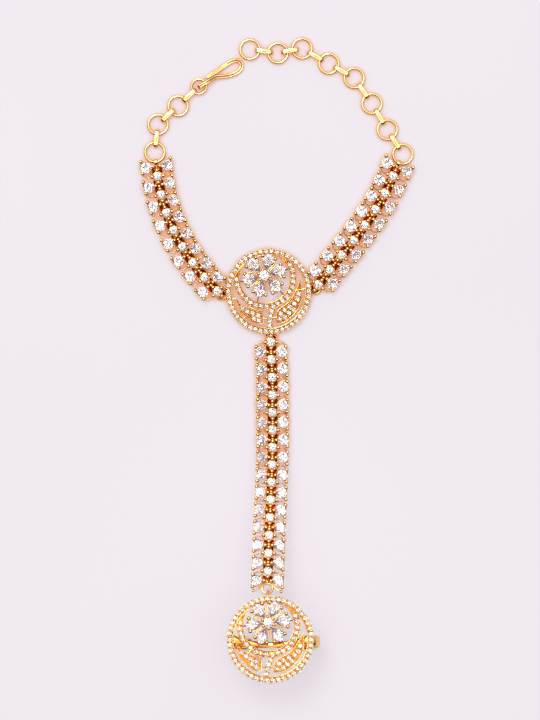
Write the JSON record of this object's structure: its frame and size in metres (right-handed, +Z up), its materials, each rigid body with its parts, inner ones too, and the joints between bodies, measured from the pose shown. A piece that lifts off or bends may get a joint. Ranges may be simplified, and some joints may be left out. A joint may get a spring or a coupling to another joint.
{
  "type": "hand harness",
  "caption": "Bracelet, hand strap and finger ring joined as one gold-coloured jewel set with clear stones, laid open with its hook unfastened.",
  "frame": {"origin": "middle of the object's base, on the surface it lies on", "axes": "+Z up, +X to the right, +Y from the finger ring towards the bracelet's chain"},
  "size_m": [0.0766, 0.179, 0.0175],
  "materials": {
    "gold": "polished gold plating",
    "stone": "faceted, clear"
  },
  "bodies": {
    "root": {"wrist_medallion": "gold", "left_arm_links": "gold", "right_arm_links": "gold", "finger_ring": "gold", "strap_link_01": "gold", "strap_link_02": "gold", "strap_link_03": "gold", "strap_link_04": "gold", "strap_link_05": "gold", "strap_link_06": "gold", "strap_link_07": "gold", "strap_link_08": "gold", "strap_link_09": "gold", "strap_link_10": "gold", "strap_link_11": "gold", "strap_link_12": "gold", "strap_link_13": "gold", "strap_link_14": "gold", "strap_jump_ring": "gold", "right_chain_ring_1": "gold", "right_chain_ring_2": "gold", "right_chain_ring_3": "gold", "right_chain_ring_4": "gold", "right_chain_ring_5": "gold", "right_chain_ring_6": "gold", "right_chain_ring_7": "gold", "right_chain_ring_8": "gold", "right_connector_1": "gold", "right_connector_2": "gold", "right_connector_3": "gold", "right_connector_4": "gold", "right_connector_5": "gold", "right_connector_6": "gold", "right_connector_7": "gold", "left_chain_ring_1": "gold", "left_chain_ring_2": "gold", "left_chain_ring_3": "gold", "left_connector_1": "gold", "left_connector_2": "gold", "left_connector_3": "gold", "clasp_ring": "gold", "hook": "gold", "wrist_petal_stone_1": "stone", "wrist_petal_stone_2": "stone", "wrist_petal_stone_3": "stone", "wrist_petal_stone_4": "stone", "wrist_petal_stone_5": "stone", "wrist_petal_stone_6": "stone", "wrist_centre_stone": "stone", "finger_petal_stone_1": "stone", "finger_petal_stone_2": "stone", "finger_petal_stone_3": "stone", "finger_petal_stone_4": "stone", "finger_petal_stone_5": "stone", "finger_petal_stone_6": "stone", "finger_centre_stone": "stone"}
  },
  "joints": []
}
